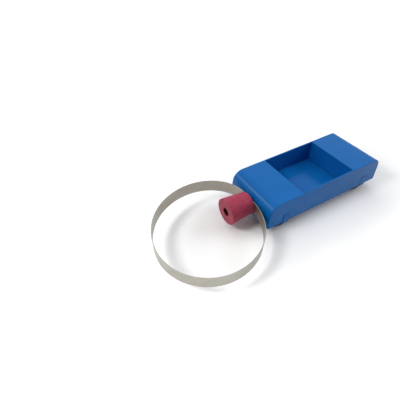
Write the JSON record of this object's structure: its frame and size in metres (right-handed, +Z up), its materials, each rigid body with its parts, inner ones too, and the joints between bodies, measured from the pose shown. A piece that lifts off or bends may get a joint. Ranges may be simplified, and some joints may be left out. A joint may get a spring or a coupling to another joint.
{
  "type": "dynamics cart",
  "caption": "Four-wheeled physics-lab cart with a load tray in its deck, a spring-steel hoop bumper in front and a tapered rubber stopper that holds the hoop on its peg.",
  "frame": {"origin": "on the table under the cart, midway between the two axles and between the left and right wheels", "axes": "+X forwards to the hoop, +Y to the cart's left, +Z up"},
  "size_m": [0.2324, 0.1016, 0.0345],
  "materials": {
    "body_plastic": "blue moulded plastic, satin gloss",
    "black_plastic": "black moulded plastic, smooth",
    "tyre_rubber": "black rubber, smooth tread",
    "steel": "bright turned steel",
    "bearing_steel": "ground and polished bearing steel",
    "spring_steel": "bare spring-steel strip, satin, with a fine grain along it",
    "red_rubber": "dark red moulded rubber, dull with a faint bloom"
  },
  "bodies": {
    "chassis": {"body_shell": "body_plastic", "bumper_peg": "steel", "peg_washer": "steel", "peg_nut": "steel", "front_axle": "steel", "front_spacer_tube": "black_plastic", "rear_axle": "steel", "rear_spacer_tube": "black_plastic", "front_left_axle_keeper": "body_plastic", "front_left_axle_collar": "black_plastic", "front_left_bearing_inner_ring": "bearing_steel", "front_right_axle_keeper": "body_plastic", "front_right_axle_collar": "black_plastic", "front_right_bearing_inner_ring": "bearing_steel", "rear_left_axle_keeper": "body_plastic", "rear_left_axle_collar": "black_plastic", "rear_left_bearing_inner_ring": "bearing_steel", "rear_right_axle_keeper": "body_plastic", "rear_right_axle_collar": "black_plastic", "rear_right_bearing_inner_ring": "bearing_steel"},
    "front_left_wheel": {"front_left_wheel": "black_plastic", "front_left_tyre": "tyre_rubber", "front_left_bearing_outer_ring": "bearing_steel"},
    "front_left_balls": {"front_left_bearing_balls": "bearing_steel"},
    "front_right_wheel": {"front_right_wheel": "black_plastic", "front_right_tyre": "tyre_rubber", "front_right_bearing_outer_ring": "bearing_steel"},
    "front_right_balls": {"front_right_bearing_balls": "bearing_steel"},
    "rear_left_wheel": {"rear_left_wheel": "black_plastic", "rear_left_tyre": "tyre_rubber", "rear_left_bearing_outer_ring": "bearing_steel"},
    "rear_left_balls": {"rear_left_bearing_balls": "bearing_steel"},
    "rear_right_wheel": {"rear_right_wheel": "black_plastic", "rear_right_tyre": "tyre_rubber", "rear_right_bearing_outer_ring": "bearing_steel"},
    "rear_right_balls": {"rear_right_bearing_balls": "bearing_steel"},
    "hoop": {"hoop_spring": "spring_steel"},
    "stopper": {"rubber_stopper": "red_rubber"}
  },
  "joints": [
    {"name": "front_left_wheel_spin", "type": "hinge", "parent": "chassis", "child": "front_left_wheel", "pos_m": [0.0489, 0.0221, 0.014], "axis": [0, 1, 0], "continuous": true},
    {"name": "front_left_balls_roll", "type": "hinge", "parent": "chassis", "child": "front_left_balls", "pos_m": [0.0489, 0.0221, 0.014], "axis": [0, 1, 0], "continuous": true},
    {"name": "front_right_wheel_spin", "type": "hinge", "parent": "chassis", "child": "front_right_wheel", "pos_m": [0.0489, -0.0221, 0.014], "axis": [0, 1, 0], "continuous": true},
    {"name": "front_right_balls_roll", "type": "hinge", "parent": "chassis", "child": "front_right_balls", "pos_m": [0.0489, -0.0221, 0.014], "axis": [0, 1, 0], "continuous": true},
    {"name": "rear_left_wheel_spin", "type": "hinge", "parent": "chassis", "child": "rear_left_wheel", "pos_m": [-0.0489, 0.0221, 0.014], "axis": [0, 1, 0], "continuous": true},
    {"name": "rear_left_balls_roll", "type": "hinge", "parent": "chassis", "child": "rear_left_balls", "pos_m": [-0.0489, 0.0221, 0.014], "axis": [0, 1, 0], "continuous": true},
    {"name": "rear_right_wheel_spin", "type": "hinge", "parent": "chassis", "child": "rear_right_wheel", "pos_m": [-0.0489, -0.0221, 0.014], "axis": [0, 1, 0], "continuous": true},
    {"name": "rear_right_balls_roll", "type": "hinge", "parent": "chassis", "child": "rear_right_balls", "pos_m": [-0.0489, -0.0221, 0.014], "axis": [0, 1, 0], "continuous": true},
    {"name": "hoop_swivel", "type": "hinge", "parent": "chassis", "child": "hoop", "pos_m": [0.07, 0, 0.0198], "axis": [1, 0, 0], "continuous": true},
    {"name": "stopper_pull", "type": "slide", "parent": "chassis", "child": "stopper", "axis": [1, 0, 0], "range_m": [0, 0.016]}
  ],
  "couplings": [
    {"joint": "front_left_balls_roll", "follows": "front_left_wheel_spin", "ratio": 0.6436},
    {"joint": "front_right_balls_roll", "follows": "front_right_wheel_spin", "ratio": 0.6436},
    {"joint": "rear_left_balls_roll", "follows": "rear_left_wheel_spin", "ratio": 0.6436},
    {"joint": "rear_right_balls_roll", "follows": "rear_right_wheel_spin", "ratio": 0.6436}
  ]
}
